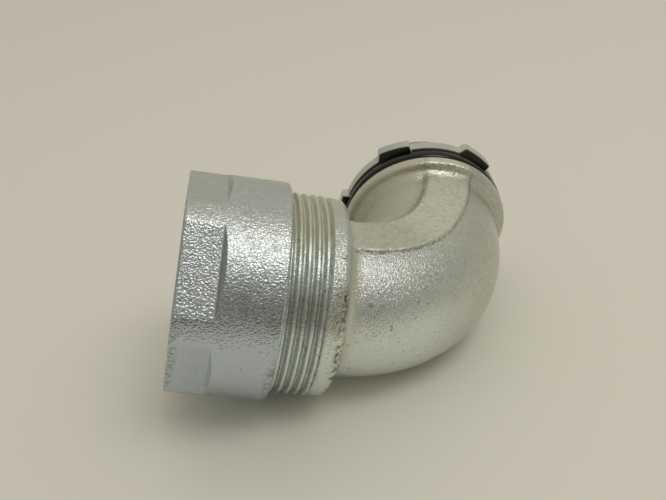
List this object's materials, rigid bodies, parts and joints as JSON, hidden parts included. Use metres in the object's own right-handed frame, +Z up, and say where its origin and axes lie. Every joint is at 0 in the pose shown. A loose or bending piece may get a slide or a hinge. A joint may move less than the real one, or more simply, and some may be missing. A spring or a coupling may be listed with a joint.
{
  "type": "liquidtight elbow connector",
  "caption": "Right-angle cast connector for liquidtight conduit: compression nut with wrench flats on a threaded barrel, hollow bend, and a threaded hub with rubber seal and locknut.",
  "frame": {"origin": "middle of the box round the part, on the surface that it lies on", "axes": "+Z up from that surface; +X level, from the gland nut's mouth towards the bend; the hub points towards +Y and a little up"},
  "size_m": [0.131, 0.1082, 0.078],
  "materials": {
    "body_zinc": "zinc plate over a grainy cast skin",
    "nut_zinc": "zinc plate over a grainy cast skin",
    "nylon": "moulded",
    "ferrule_zinc": "zinc plated, pressed",
    "rubber": "smooth",
    "locknut_zinc": "zinc plated, stamped"
  },
  "bodies": {
    "elbow": {"elbow_body": "body_zinc", "ferrule": "ferrule_zinc"},
    "sealing_ring": {"sealing_ring": "nylon"},
    "gland_nut": {"gland_nut": "nut_zinc"},
    "hub_seal": {"hub_seal": "rubber"},
    "locknut": {"locknut": "locknut_zinc"}
  },
  "joints": [
    {"name": "gland_travel", "type": "slide", "parent": "elbow", "child": "sealing_ring", "axis": [0.9643, 0, -0.2649], "range_m": [-0.01138, 0.00292]},
    {"name": "gland_nut_turn", "type": "hinge", "parent": "sealing_ring", "child": "gland_nut", "pos_m": [-0.04075, -0.01808, 0.04064], "axis": [0.9643, 0, -0.2649], "range_deg": [-1440, 360]},
    {"name": "locknut_turn", "type": "hinge", "parent": "elbow", "child": "hub_seal", "pos_m": [0.03302, 0.03382, 0.03152], "axis": [0.0537, 0.9792, 0.1955], "range_deg": [0, 1440]},
    {"name": "locknut_travel", "type": "slide", "parent": "hub_seal", "child": "locknut", "axis": [0.0537, 0.9792, 0.1955], "range_m": [-0.0001, 0.00894]}
  ],
  "couplings": [
    {"joint": "gland_travel", "follows": "gland_nut_turn", "m_per_rad": 0.00044882},
    {"joint": "locknut_travel", "follows": "locknut_turn", "m_per_rad": 0.00035152}
  ]
}
